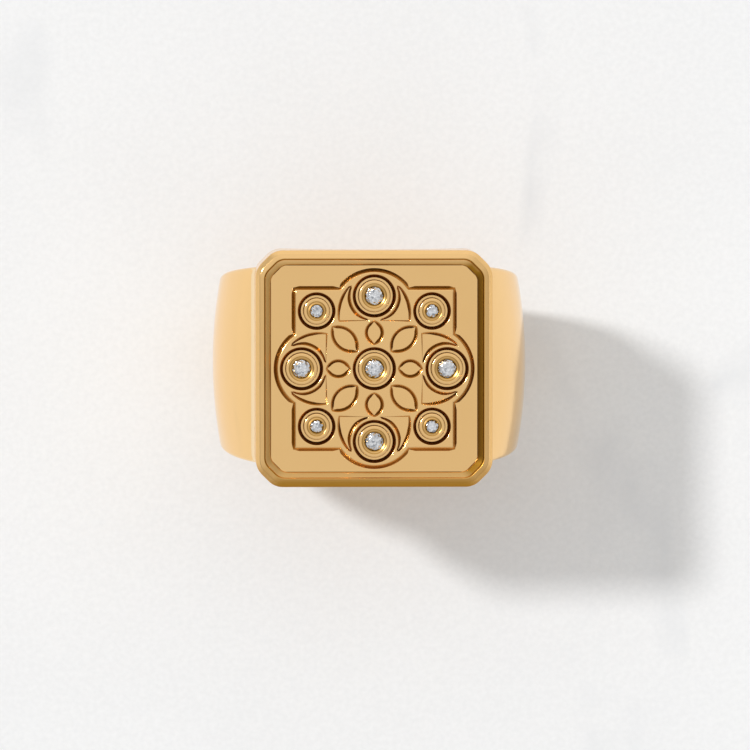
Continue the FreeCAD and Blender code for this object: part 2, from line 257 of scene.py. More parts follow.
def noise(tree, place, scale, detail):
    node = addNode(tree, "ShaderNodeTexNoise", {"Vector": place, "Scale": scale, "Detail": detail})
    return treeNumber(tree, node.outputs["Fac"])


def bump(tree, height, strength, distance, **more):
    inputs = {"Height": height, "Strength": strength, "Distance": distance, **more}
    return addNode(tree, "ShaderNodeBump", inputs).outputs[0]


def mixColours(tree, share, first, second, blend="MIX"):
    inputs = {0: share, 6: first, 7: second}
    return addNode(tree, "ShaderNodeMix", inputs, data_type="RGBA", blend_type=blend).outputs[2]


# gold
goldValues = {
    "colour": (0.99, 0.635, 0.275, 1.0),
    "darker": (0.955, 0.6, 0.25, 1.0),
    "halfDark": (0.49, 0.37, 0.09, 1.0),  # multiplies the gold where the painted shade is at half strength
    "fullDark": (0.115, 0.08, 0.03, 1.0),
    "darkRoughness": 0.34,  # added to the roughness in step with the painted shade
    "roughness": 0.14,
    "roughnessSpread": 0.06,
    "cloudScale": 260.0,  # per metre
    "waveScale": 420.0,
    "waveDepth": 0.03,
    "waveHeight": 0.001,  # metres
    "scratchScale": 9000.0,
    "scratchStretch": 0.04,  # of that scale along the scratches
    "scratchDepth": 0.02,
    "scratchHeight": 0.0001,
}
# a paler copy of the gold on the band: painted sheen that lightens its shoulders
bandSheenTint = {"colour": (0.995, 0.66, 0.305, 1.0), "darker": (0.965, 0.63, 0.28, 1.0)}
# paler gold on the solder fillets: a painted highlight along the foot of the head
solderHighlightTint = {"colour": (0.995, 0.76, 0.45, 1.0), "darker": (0.97, 0.73, 0.43, 1.0)}


def goldMaterial(name, v, along="Y"):
    made, tree, shader, place = newMaterial(name)
    cloud = noise(tree, place, v["cloudScale"], 3.0)
    clean = mixColours(tree, cloud, v["darker"], v["colour"])
    # painted shade, as the piece's own attribute says: darkening in recesses and along edges that stands in
    # for shade and dark reflections
    shade = treeNumber(tree, addNode(tree, "ShaderNodeAttribute", attribute_name="shade").outputs["Fac"])
    paintedShade = addNode(tree, "ShaderNodeValToRGB", {0: shade})
    stops = paintedShade.color_ramp.elements
    stops[0].color, stops[1].color = (1.0, 1.0, 1.0, 1.0), v["fullDark"]
    stops.new(0.5).color = v["halfDark"]
    least = v["roughness"] - v["roughnessSpread"] / 2
    stretch = [v["scratchStretch"] if axis == along else 1.0 for axis in "XYZ"]
    drawn = addNode(tree, "ShaderNodeMapping", {"Vector": place, "Scale": stretch}).outputs[0]
    fine = bump(tree, noise(tree, drawn, v["scratchScale"], 1.0), v["scratchDepth"], v["scratchHeight"])
    wave = noise(tree, place, v["waveScale"], 2.0)
    setInputs(tree, shader, {
        "Base Color": mixColours(tree, 1.0, clean, paintedShade.outputs[0], "MULTIPLY"),
        "Metallic": 1.0,
        "Roughness": cloud * v["roughnessSpread"] + least + shade * v["darkRoughness"],
        "Normal": bump(tree, wave, v["waveDepth"], v["waveHeight"], Normal=fine),
    })
    return made


bandGold = goldMaterial("bandGold", dict(goldValues, **bandSheenTint))
headGold = goldMaterial("headGold", goldValues, "X")
solderGold = goldMaterial("solderGold", dict(goldValues, **solderHighlightTint))
print("gold mixed")


# the band: a section swept round the finger, then narrowed towards the back
bandValues = {
    "finger radius": 8.65,
    "band radius": 10.25,
    "crown radius": 29.96,  # the dome across the width
    "dome fall": 0.6,  # about, from its middle to its edge
    "back half": 3.5,
    "shoulder half": 6.45,
    "shoulder height": 6.878,
    "side bow": 100.0,
    "flare top": 9.75,
    "head half": 7.6,
    "cove radius": 4.908,
    "edge round": 0.35,
    "comfort round": 0.3,
    "around": 900,
}
sectionValues = {
    "dome": 26,  # steps across the outside
    "round": 8,  # steps in each outer edge
    "comfort": 5,
    "inside": 10,
    "wall": 1.6,  # mm, of a plain section that the rule then shapes
    "half": 6.0,
    "path": 10.0,
    "smoothUpTo": 60.0,  # degrees
}


def arcCentre(start, stop, radius, hand):  # of an arc in the side view, (across, up)
    a, b = np.array(start), np.array(stop)
    chord = b - a
    half = np.hypot(*chord) / 2
    aside = np.array((-chord[1], chord[0])) / (2 * half)
    return (a + b) / 2 + aside * hand * math.sqrt(radius**2 - half**2)


def sideCurves(v):  # the centres of the side's long bow and of the cove under the head
    shoulder = (v["shoulder half"], v["shoulder height"])
    bow = arcCentre((v["back half"], -v["band radius"]), shoulder, v["side bow"], 1)
    return bow, arcCentre(shoulder, (v["head half"], v["flare top"]), v["cove radius"], -1)


def bandSection(v):  # side, turn, inner for each point of the closed section
    rows = []
    for k in range(v["dome"] + 1):
        rows.append((-1 + 2 * k / v["dome"], 0.0, 0.0))
    for k in range(1, v["round"] + 1):
        rows.append((1.0, k / v["round"], 0.0))
    for k in range(v["comfort"], 0, -1):
        rows.append((1.0, k / v["comfort"], 1.0))
    for k in range(v["inside"] + 1):
        rows.append((1 - 2 * k / v["inside"], 0.0, 1.0))
    for k in range(1, v["comfort"] + 1):
        rows.append((-1.0, k / v["comfort"], 1.0))
    for k in range(v["round"], 0, -1):
        rows.append((-1.0, k / v["round"], 0.0))
    return rows


def makeBand(v, s):
    rows = bandSection(s)
    points = []
    for side, turn, inner in rows:
        points.append(((1 - inner) * s["wall"] * mm, side * (s["half"] + turn) * mm, 0))
    count = len(rows)
    band = newPiece("band", points, edges=[(k, (k + 1) % count) for k in range(count)])
    for name, column in zip(("side", "turn", "inner"), zip(*rows)):
        addAttribute(band, name, column)

    bow, cove = sideCurves(v)
    inputs = dict(v, **{"bow across": float(bow[0]), "bow up": float(bow[1]),
                        "cove across": float(cove[0]), "cove up": float(cove[1])})
    tree, source, sink = newTree("bandRule", inputs)
    n = numbersOf(tree, source, inputs)
    section = addNode(tree, "GeometryNodeMeshToCurve", {"Mesh": source.outputs["Geometry"]})
    path = addNode(tree, "GeometryNodeCurvePrimitiveCircle",
                   {"Resolution": source.outputs["around"], "Radius": s["path"] * mm}, mode="RADIUS")
    swept = addNode(tree, "GeometryNodeCurveToMesh",
                    {"Curve": path.outputs["Curve"], "Profile Curve": section.outputs[0]})
    x, y, _ = placeOf(tree)
    turnRound = y.maths("ARCTAN2", x)
    up, out = turnRound.maths("COSINE"), turnRound.maths("SINE")
    side, turn, inner = (attribute(tree, name) for name in ("side", "turn", "inner"))

    def dome(across):
        drop = (n["crown radius"].square() - across.square()).root()
        return n["band radius"] - n["crown radius"] + drop

    def halfWidth(height):
        high = height.maths("MINIMUM", n["flare top"])
        fromBow, fromCove = high - n["bow up"], high - n["cove up"]
        bowed = n["bow across"] + (n["side bow"].square() - fromBow.square()).root()
        flared = n["cove across"] - (n["cove radius"].square() - fromCove.square()).root()
        return pick(high.maths("GREATER_THAN", n["shoulder height"]), flared, bowed)

    roughHalf = halfWidth((n["band radius"] - n["dome fall"]) * up)
    half = halfWidth(dome(roughHalf) * up)
    tilt = ((half - n["edge round"]) / n["crown radius"]).maths("ARCSINE")
    edge = half - n["edge round"] * (1.0 - tilt.maths("SINE"))
    lean = tilt + (math.pi / 2 - tilt) * turn
    outerAcross = side * (edge + n["edge round"] * (lean.maths("SINE") - tilt.maths("SINE")))
    outerReach = dome(side * edge) - n["edge round"] * (tilt.maths("COSINE") - lean.maths("COSINE"))
    innerLean = turn * (math.pi / 2)
    innerHalf = halfWidth(n["finger radius"] * up)
    innerAcross = side * (innerHalf - n["comfort round"] * (1.0 - innerLean.maths("SINE")))
    innerReach = n["finger radius"] + n["comfort round"] * (1.0 - innerLean.maths("COSINE"))
    across = pick(inner, innerAcross, outerAcross)
    reach = pick(inner, innerReach, outerReach)
    endTree(tree, source, sink, placeAt(tree, swept.outputs[0], reach * out, across, reach * up))
    runTree(band, tree, inputs, bandGold)
    mendNormals(band)
    smoothUpTo(band, s["smoothUpTo"])
    return band


band = makeBand(bandValues, sectionValues)
handIn(band, "gold", "shank")


# the head: the rim's section carried round a square with cut corners
headValues = {
    "half": 7.6,
    "cut": 1.2,
    "innerCut": 1.35,
    "cornerRound": 1.3,
    "innerRound": 0.9,
    "table": 11.37,
    # the rim's section from the table to the wall: inset from the wall, height over the table,
    # and whether it belongs to the slope, to the step over it, to its foot or to the outer bevel
    "rim": [
        (0.96, -0.3, 0, 0, 1, 0),
        (0.96, 0.02, 0, 0, 1, 0),
        (0.92, 0.15, 1, 0, 0.3, 0),
        (0.62, 0.365, 1, 0, 0, 0),
        (0.57, 0.48, 0, 1, 0, 0.3),
        (0.52, 0.5, 0, 0, 0, 0.7),
        (0.27, 0.45, 0, 0, 0, 0.9),
        (0.0, 0.2, 0, 0, 0, 1),
        (0.0, 0.08, 0, 0, 0, 0),
        (0.0, -0.15, 0, 0, 0, 0),
    ],
    "paintedShade": {  # painted shade, standing in for shade and dark reflections, of the slope, the step, the foot and the bevel on each side
        "right": (0.72, 1.0, 0.8, 0.12),
        "top": (0.0, 0.8, 1.0, 0.0),
        "left": (0.2, 1.0, 0.4, 0.04),
        "bottom": (0.16, 0.1, 0.2, 0.52),
    },
    "soft": 0.03,  # rounding of the section's edges
    "lowRound": 0.12,  # rounding of the wall's lower edge
    "footWidth": 1.5,  # of the wall where it stands on the band
    "seam": 0.02,
    "straightSteps": 24,
    "cornerSteps": 8,
    "wallSteps": 4,
    "lowRoundSteps": 4,
    "footSteps": 6,
    "smoothUpTo": 30.0,  # degrees
}


def cutSquare(v, inset, radius):  # a loop of points round the head, counterclockwise
    cut = v["cut"] + (v["innerCut"] - v["cut"]) * inset / v["rim"][0][0]
    reach = [v["half"] - inset, (2 * v["half"] - cut) / math.sqrt(2) - inset]
    centres = []
    for side in range(8):
        here, after = math.radians(45 * side), math.radians(45 * side + 45)
        normals = np.array([(math.cos(here), math.sin(here)), (math.cos(after), math.sin(after))])
        centres.append(np.linalg.solve(normals, [reach[side % 2] - radius, reach[(side + 1) % 2] - radius]))
    points = []
    for side in range(8):
        arc = []
        for step in range(v["cornerSteps"] + 1):
            angle = math.radians(45 * side + 45 * step / v["cornerSteps"])
            arc.append(centres[side] + radius * np.array((math.cos(angle), math.sin(angle))))
        nextAngle = math.radians(45 * side + 45)
        following = centres[(side + 1) % 8] + radius * np.array((math.cos(nextAngle), math.sin(nextAngle)))
        points += arc
        for step in range(1, v["straightSteps"]):
            points.append(arc[-1] + (following - arc[-1]) * step / v["straightSteps"])
    return np.array(points)


def sideNormals(v):  # the way out of the head at each point of such a loop
    angles = []
    for side in range(8):
        angles += [45 * side + 45 * step / v["cornerSteps"] for step in range(v["cornerSteps"] + 1)]
        angles += [45 * side + 45] * (v["straightSteps"] - 1)
    turn = np.radians(angles)
    return np.column_stack((np.cos(turn), np.sin(turn)))


def sideShares(v):  # how much each point belongs to the right, top, left and bottom
    normals = sideNormals(v)
    return np.maximum(np.column_stack((normals, -normals)), 0) ** 2


def saddleHeight(points, b, seam=0.0):  # height of the band's outside under each point
    crown = b["crown radius"]
    dome = b["band radius"] + seam - crown + np.sqrt(crown**2 - points[:, 1] ** 2)
    return np.sqrt(dome**2 - points[:, 0] ** 2)


def roundedPath(corners, radius, steps=4, most=0.4, hold=0.12):  # softens a path of (inset, height, ...)
    made = [np.array(corners[0])]
    for before, here, after in zip(corners, corners[1:], corners[2:]):
        before, here, after = map(np.array, (before, here, after))
        back, on = before - here, after - here
        backLength, onLength = np.hypot(*back[:2]), np.hypot(*on[:2])
        start = here + back / backLength * min(radius, backLength * most)
        stop = here + on / onLength * min(radius, onLength * most)
        made.append(start + (start - here) * hold)  # keeps the flats' shading flat
        for step in range(steps + 1):
            t = step / steps
            made.append(start * (1 - t) ** 2 + here * 2 * t * (1 - t) + stop * t**2)
        made.append(stop + (stop - here) * hold)
    made.append(np.array(corners[-1]))
    return made


def makeHead(v, b):
    # from the inside of the wall, up over the rim and down the outside
    section = roundedPath([(float(row[0]), v["table"] + row[1], *row[2:]) for row in v["rim"]], v["soft"])
    # painted shade for each point of the rim, from the side it faces and its place in the section
    dark = sideShares(v) @ np.array([v["paintedShade"][side] for side in ("right", "top", "left", "bottom")])
    loops, shades = [], []
    for row in section:
        points = cutSquare(v, row[0], max(v["cornerRound"] - row[0], v["innerRound"]))
        loops.append(np.column_stack((points, np.full(len(points), row[1]))))
        shades.append(dark @ row[2:])
    lowRound = v["lowRound"]
    outside = cutSquare(v, 0.0, v["cornerRound"])
    foot = saddleHeight(outside, b, v["seam"])
    high = section[-1][1]
    for step in range(1, v["wallSteps"]):
        height = high + (foot + lowRound - high) * (step / v["wallSteps"])
        loops.append(np.column_stack((outside, height)))
    for step in range(v["lowRoundSteps"] + 1):
        angle = math.pi / 2 * step / v["lowRoundSteps"]
        points = cutSquare(v, lowRound * (1 - math.cos(angle)), v["cornerRound"])
        height = saddleHeight(points, b, v["seam"]) + lowRound * (1 - math.sin(angle))
        loops.append(np.column_stack((points, height)))
    for inset in np.linspace(lowRound, v["footWidth"], v["footSteps"] + 1)[1:]:
        points = cutSquare(v, inset, max(v["cornerRound"] - inset, v["innerRound"]))
        loops.append(np.column_stack((points, saddleHeight(points, b, v["seam"]))))
    count, rings = len(loops[0]), len(loops)
    faces = []
    for ring in range(rings):
        here, there = ring * count, (ring + 1) % rings * count
        for k in range(count):
            after = (k + 1) % count
            faces.append((here + k, here + after, there + after, there + k))
    head = newPiece("headFrame", np.vstack(loops) * mm, faces, material=headGold)
    addAttribute(head, "shade", np.concatenate(shades + [np.zeros(count)] * (rings - len(shades))))
    mendNormals(head)
    smoothUpTo(head, v["smoothUpTo"])
    return head


head = makeHead(headValues, bandValues)
handIn(head, "gold", "head_frame")


# the solder drawn into the corners between the head and the band
solderValues = {
    "radius": 0.42,  # against the head's side walls
    "halfLength": 6.35,
    "runOut": 0.6,  # length over which each end thins out
    "ledgeRadius": 0.45,  # under the head's corners, where it stands out over the band
    "ledgeFrom": 3.7,
    "ledgeTo": 7.46,
    "ledgeGap": 0.1,  # left to the head's outside
    "ledgeLeast": 0.01,
    "ledgeDown": 0.25,  # how much further it reaches down the band's side, in radii
    "sunk": 0.03,  # its edges, in the metal
    "buried": 0.15,  # its core, in the metal
    "ledgeAside": 0.03,  # the ledge's core, past the edge's rounding
    "ledgeBelow": 0.05,
    "rows": 40,
    "steps": 8,
    "smoothUpTo": 40.0,  # degrees
}


def wallRows(v, h, b, hand):  # head end, corner, band end and a hidden point, along one side wall
    outline, normals = cutSquare(h, 0.0, h["cornerRound"]), sideNormals(h)
    facing = normals[:, 0] * hand > 0.5
    chosen = facing & (np.abs(outline[:, 1]) < v["halfLength"])
    order = np.argsort(outline[chosen][:, 1])
    rows = []
    for spot, way in zip(outline[chosen][order], normals[chosen][order]):
        thin = min(1.0, (v["halfLength"] - abs(spot[1])) / v["runOut"])
        reach = v["radius"] * math.sqrt(thin) + v["sunk"]
        low = spot + way * reach
        corner = np.append(spot, saddleHeight(spot[None], b))
        aside = np.append(way, 0.0)
        head = corner + (0, 0, reach) - aside * v["sunk"]
        out = np.append(low, saddleHeight(low[None], b)) * (1 - v["sunk"] / b["band radius"])
        rows.append((head, corner, out, corner - (aside + (0, 0, 1)) * v["buried"]))
    return rows


def ledgeRows(v, h, b, xHand, yHand):  # the same along the band's edge under one corner
    outline = cutSquare(h, 0.0, h["cornerRound"])
    outline = outline[(outline[:, 0] > 0) & (outline[:, 1] > 0)]
    outline = outline[np.argsort(outline[:, 0])]
    bow, cove = sideCurves(b)

    def half(height):
        if height > b["shoulder height"]:
            fromCove = min(height, b["flare top"]) - cove[1]
            return cove[0] - math.sqrt(b["cove radius"] ** 2 - fromCove**2)
        return bow[0] + math.sqrt(b["side bow"] ** 2 - (height - bow[1]) ** 2)

    def high(x, y):
        return float(saddleHeight(np.array([(x, y)]), b)[0])

    firstGuess, guesses = 6.6, 5
    rows = []
    for x in np.linspace(v["ledgeFrom"], v["ledgeTo"], v["rows"]):
        y = firstGuess
        for _ in range(guesses):
            y = half(high(x, y))
        room = float(np.interp(x, outline[:, 0], outline[:, 1])) - y - v["ledgeGap"]
        reach = min(v["ledgeRadius"], max(room, v["ledgeLeast"]))
        down = v["ledgeRadius"] * min(1.0, v["ledgeDown"] + reach / v["ledgeRadius"])
        corner = np.array((x, y, high(x, y)))
        head = np.array((x, y + reach, high(x, y + reach) + v["sunk"]))
        inward = 1 - down / math.hypot(x, corner[2])
        out = np.array((x * inward, half(corner[2] * inward) - v["sunk"], corner[2] * inward))
        within = y - b["edge round"] - v["ledgeAside"]
        hidden = np.array((x, within, high(x, within) - v["ledgeBelow"]))
        rows.append([spot * (xHand, yHand, 1) for spot in (head, corner, out, hidden)])
    return rows


def makeSolder(v, h, b):
    runs = [wallRows(v, h, b, hand) for hand in (1, -1)]
    runs += [ledgeRows(v, h, b, xHand, yHand) for xHand in (1, -1) for yHand in (1, -1)]
    points, faces = [], []
    ring = v["steps"] + 2
    for rows in runs:
        first = len(points)
        for head, corner, out, hidden in rows:
            for step in range(v["steps"] + 1):
                t = step / v["steps"]
                points.append(head * (1 - t) ** 2 + corner * 2 * t * (1 - t) + out * t**2)
            points.append(hidden)
        for row in range(len(rows) - 1):
            for k in range(ring):
                here, after = first + row * ring + k, first + row * ring + (k + 1) % ring
                faces.append((here, after, after + ring, here + ring))
        faces += [tuple(range(first, first + ring)), tuple(range(len(points) - ring, len(points)))[::-1]]
    solder = newPiece("solder", np.array(points) * mm, faces, material=solderGold)
    mendNormals(solder)
    smoothUpTo(solder, v["smoothUpTo"])
    return solder


solder = makeSolder(solderValues, headValues, bandValues)
handIn(solder, "gold")

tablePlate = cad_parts["table_plate"]
tablePlate.data.materials.clear()
tablePlate.data.materials.append(headGold)
print("table plate painted")


# the emblem: a quatrefoil over a square, pierced by wells, petals and leaves
emblemValues = {
    "table": 11.37,
    "height": 0.35,
    # the worn edge from the table up: shares of its width and of the height, and the painted shade there
    "profile": [(0.0, 0.03, 1.0), (0.06, 0.12, 1.0), (0.16, 0.30, 0.95), (0.28, 0.50, 0.85),
                (0.42, 0.70, 0.65), (0.56, 0.84, 0.38), (0.70, 0.93, 0.15), (0.85, 0.985, 0.04),
                (1.0, 1.0, 0.0)],
    "paintedShadeAway": 0.4,  # share of the painted shade on walls that face away from the upper left
    # of each kind of loop: the edge's width, how much further a sharp corner is worn, the fillet's
    # slope towards a corner and the share of the painted shade
    "kinds": {
        "outline": {"edge": 0.21, "corner": 1.5, "footSlope": 0.4, "paintedShade": 1.0},
        "well": {"edge": 0.14, "corner": 1.1, "footSlope": 0.4, "paintedShade": 0.65},
        "petal": {"edge": 0.15, "corner": 1.1, "footSlope": 0.4, "paintedShade": 1.0},
        "leaf": {"edge": 0.14, "corner": 1.1, "footSlope": 0.12, "paintedShade": 1.0},
    },
    "foot": 0.1,  # a thin fillet of solder on the table, narrower towards corners
    "footCorner": 0.4,  # radians of bend that make a corner
    "squareHalf": 5.2,
    "sidePoint": 0.4,  # points of the square's sides, from their ends
    "lobeCentre": 3.6,
    "lobeRadius": 2.75,
    "largeWell": 1.28,
    "smallWell": 1.1,
    "lobeStone": 4.67,
    "cornerStone": 3.7,
    "ring": 1.63,
    "shortPetal": (1.63, 2.99, 1.0),  # start, end, width
    "longPetal": (1.63, 3.733, 1.2),
    "leafRadius": 2.251,
    "leafStart": 3.1005,
    "spacing": 0.07,  # between points
}


def rotated(points, angle):
    c, s = math.cos(angle), math.sin(angle)
    return points @ np.array(((c, s), (-s, c)))


def settingSpots(v):  # (x, y, large)
    spots = [(0.0, 0.0, 1.0)]
    for k in range(4):
        angle = k * math.pi / 2
        spots.append((v["lobeStone"] * math.cos(angle), v["lobeStone"] * math.sin(angle), 1.0))
        reach = v["cornerStone"] * math.sqrt(2)
        spots.append((reach * math.cos(angle + math.pi / 4), reach * math.sin(angle + math.pi / 4), 0.0))
    return spots


def emblemLoops(v):  # (kind, points in millimetres): the outside first, then the holes

    def arc(centre, radius, start, stop):  # the first point in, the last left out
        count = max(4, math.ceil(abs(stop - start) * radius / v["spacing"]))
        angles = np.linspace(start, stop, count, endpoint=False)
        return np.column_stack((centre[0] + radius * np.cos(angles), centre[1] + radius * np.sin(angles)))

    # the outside, one quarter at a time: a corner, then the lobe
    half, lobe, near = v["squareHalf"], v["lobeRadius"], v["sidePoint"]
    bend = math.acos((half - v["lobeCentre"]) / lobe)
    shoulder = lobe * math.sin(bend)
    side = [(half, y) for y in (shoulder, shoulder + near, half - near)]
    quarter = np.vstack((
        [(half, -half)],
        [(x, -y) for x, y in side[:0:-1]],
        arc((v["lobeCentre"], 0.0), lobe, -bend, bend),
        side,
    ))
    loops = [("outline", np.vstack([rotated(quarter, k * math.pi / 2) for k in range(4)]))]
    # wells
    for x, y, large in settingSpots(v):
        loops.append(("well", arc((x, y), v["largeWell"] if large else v["smallWell"], 0, 2 * math.pi)))
    # petals
    for turn, (start, end, width) in ((0, v["shortPetal"]), (math.pi / 4, v["longPetal"])):
        length = end - start
        radius = (length**2 + width**2) / (4 * width)
        aside = radius - width / 2
        middle = (start + end) / 2
        bend = math.acos(aside / radius)
        petal = np.vstack((
            arc((middle, -aside), radius, math.pi / 2 - bend, math.pi / 2 + bend),
            arc((middle, aside), radius, -math.pi / 2 - bend, -math.pi / 2 + bend),
        ))
        loops += [("petal", rotated(petal, turn + k * math.pi / 2)) for k in range(4)]
    # leaves
    big, small, start = v["leafRadius"], v["ring"], v["leafStart"]
    gap = v["lobeStone"] - v["lobeCentre"]
    meetX = (big**2 - small**2 - gap**2) / (2 * gap)  # from the stone's centre
    meet = (v["lobeStone"] + meetX, math.sqrt(small**2 - meetX**2))
    bigStart = math.acos((start - v["lobeCentre"]) / big)
    smallStop = math.acos((start - v["lobeStone"]) / small)
    leaf = np.vstack((
        arc((v["lobeCentre"], 0.0), big, bigStart, math.atan2(meet[1], meet[0] - v["lobeCentre"])),
        arc((v["lobeStone"], 0.0), small, math.atan2(meet[1], meet[0] - v["lobeStone"]), smallStop),
        [(start, small * math.sin(smallStop))],
    ))
    for k in range(4):
        loops += [("leaf", rotated(one, k * math.pi / 2)) for one in (leaf, leaf * (1, -1))]
    return loops


def intoMetal(loop, hole, limit):  # for each point, the way its edge moves as the edge is worn back
    following = np.roll(loop, -1, axis=0) - loop
    following /= np.hypot(following[:, 0], following[:, 1])[:, None]
    previous = np.roll(following, 1, axis=0)
    area = np.sum(loop[:, 0] * np.roll(loop[:, 1], -1) - np.roll(loop[:, 0], -1) * loop[:, 1])
    hand = 1 if (area > 0) != hole else -1
    aside = (following + previous)[:, ::-1] * (-hand, hand)
    aside /= np.maximum(np.hypot(aside[:, 0], aside[:, 1]), 1e-9)[:, None]
    square = following[:, ::-1] * (-hand, hand)
    spread = np.maximum(np.sum(aside * square, axis=1), 1 / limit)
    return aside / spread[:, None]


def footOutline(loop, way, v, slope):  # the edge of the solder round the foot of one wall
    following = np.roll(loop, -1, axis=0) - loop
    heading = np.arctan2(following[:, 1], following[:, 0])
    bend = np.abs((heading - np.roll(heading, 1) + math.pi) % (2 * math.pi) - math.pi)
    corners = loop[bend > v["footCorner"]]
    width = np.full(len(loop), v["foot"])
    if len(corners):
        apart = loop[:, None, :] - corners[None, :, :]
        width = np.minimum(width, slope * np.hypot(apart[:, :, 0], apart[:, :, 1]).min(axis=1))
    return loop - way / np.hypot(way[:, 0], way[:, 1])[:, None] * width[:, None]


def plateTriangles(loops):  # between the outside and the holes
    flat = [Vector(point) for loop in loops for point in loop]
    starts = np.cumsum([0] + [len(loop) for loop in loops])
    bounds = [list(range(a, b)) for a, b in zip(starts, starts[1:])]
    withHoles, tolerance = 2, 1e-7
    points, _, faces, origins, _, _ = delaunay_2d_cdt(flat, [], bounds, withHoles, tolerance)
    if not faces or len(points) != len(flat):
        raise ValueError("the emblem's edges cross")
    return [[origins[k][0] for k in face] for face in faces]


def makeEmblem(v):
    loops, ways, feet, strengths = [], [], [], []
    for kind, loop in emblemLoops(v):
        look = v["kinds"][kind]
        way = intoMetal(loop, kind != "outline", look["corner"]) * look["edge"]
        loops.append(loop)
        ways.append(way)
        feet.append(footOutline(loop, way, v, look["footSlope"]))
        strengths.append(look["paintedShade"])
    outlines = [(0.0, 0.0, feet)]
    for worn, rise, paintedShade in v["profile"]:
        outlines.append((rise, paintedShade, [loop + worn * way for loop, way in zip(loops, ways)]))
    work = bmesh.new()
    shade = work.verts.layers.float.new("shade")
    rings = []
    for rise, paintedShade, outline in outlines:
        height = v["table"] + v["height"] * rise
        rings.append([])
        for loop, way, strength in zip(outline, ways, strengths):
            # painted shade, heavier on walls that face the upper left
            facing = (way[:, 0] - way[:, 1]) / np.hypot(way[:, 0], way[:, 1]) / math.sqrt(2)
            dark = paintedShade * strength * (v["paintedShadeAway"] + (1 - v["paintedShadeAway"]) * np.maximum(facing, 0))
            corners = [work.verts.new((x * mm, y * mm, height * mm)) for x, y in loop]
            for corner, level in zip(corners, dark):
                corner[shade] = level
            rings[-1].append(corners)
    smooth = []
    for low, high in zip(rings, rings[1:]):
        for here, there in zip(low, high):
            for k in range(len(here)):
                after = (k + 1) % len(here)
                smooth.append(work.faces.new((here[k], here[after], there[after], there[k])))
    for ring, (_, _, outline) in ((rings[0], outlines[0]), (rings[-1], outlines[-1])):
        corners = [corner for loop in ring for corner in loop]
        for triangle in plateTriangles(outline):
            work.faces.new([corners[k] for k in triangle])
    for face in work.faces:
        face.smooth = False
    for face in smooth:
        face.smooth = True
    emblem = newPiece("emblem", [], material=headGold)
    work.to_mesh(emblem.data)
    work.free()
    mendNormals(emblem)
    return emblem


emblem = makeEmblem(emblemValues)
handIn(emblem, "gold", "emblem_relief")


# the settings: a collet and a brilliant at each of nine places
settingValues = {
    "collet top": 11.82,
    "large girdle": 0.65,
    "small girdle": 0.47,
    "wall": 0.38,
    "rim": 0.15,
    "lip": 0.05,
    "bevel": 0.1,
    "bore": 0.2,
    "play": 0.02,  # between stone and metal
    "depth": 0.7,  # of the tube below the girdle
    "around": 96,
}
colletEdges = {  # each corner's share of a width, its height and its painted shade, standing in for shade and dark reflections round the stones
    "lip": [(1.0, 0.02, 0.8), (0.4, 0.06, 0.45)],
    "rim": [(0.5, -0.06, 0.1), (0.85, -0.025, 0.45), (1.0, -0.008, 0.35), (1.25, 0.0, 0.0)],
    "bevel": [(1.0, 0.0, 0.0), (0.62, -0.08, 0.0), (0.29, -0.29, 0.1), (0.08, -0.62, 0.4),
              (0.0, -1.0, 0.8)],
    "smoothUpTo": 30.0,  # degrees
}
stoneValues = {
    "crownAngle": 34.5,
    "pavilionAngle": 41.0,
    "tableShare": 0.55,
    "girdleShare": 0.03,
    "starShare": 0.5,
    "lowerShare": 0.77,
}


def spotPiece(name, height):
    spots = settingSpots(emblemValues)
    piece = newPiece(name, [(x * mm, y * mm, height * mm) for x, y, _ in spots])
    addAttribute(piece, "large", [large for _, _, large in spots])
    return piece


def slopesOf(s):  # of a stone's crown and pavilion
    return [math.tan(math.radians(s[name])) for name in ("crownAngle", "pavilionAngle")]


def chooseByIndex(tree, index, values):
    node = addNode(tree, "GeometryNodeIndexSwitch", data_type="FLOAT")
    while len(node.index_switch_items) < len(values):
        node.index_switch_items.new()
    setInputs(tree, node, dict(enumerate((index,) + values)))
    return treeNumber(tree, node.outputs[0])


def colletCorners(n, girdle, edges, s):  # radius, height under the collet's top and painted shade
    crown, pavilion = slopesOf(s)
    girdleTop = -1.0 * girdle * (1 - s["tableShare"]) * crown
    girdleFoot = girdleTop - 2 * s["girdleShare"] * girdle
    outside, bore = girdle + n["wall"], girdle - n["bore"]
    low = girdleTop - n["depth"]
    corners = [
        (bore, low, 0.0),
        (bore, girdleFoot - (n["bore"] + n["play"]) * pavilion, 0.0),
        (girdle + n["play"], girdleFoot - n["play"], 0.0),
        (girdle + n["play"], girdleTop + n["play"], 0.0),
    ]
    for share, rise, dark in edges["lip"]:
        height = girdleTop + rise + (n["lip"] + n["play"]) * crown
        corners.append((girdle - n["lip"] * share, height, dark))
    corners += [(girdle + n["rim"] * share, height, dark) for share, height, dark in edges["rim"]]
    for share, height, dark in edges["bevel"]:
        corners.append((outside - n["bevel"] * share, n["bevel"] * height, dark))
    return corners + [(outside, low, 1.0), (bore, low, 0.0)]


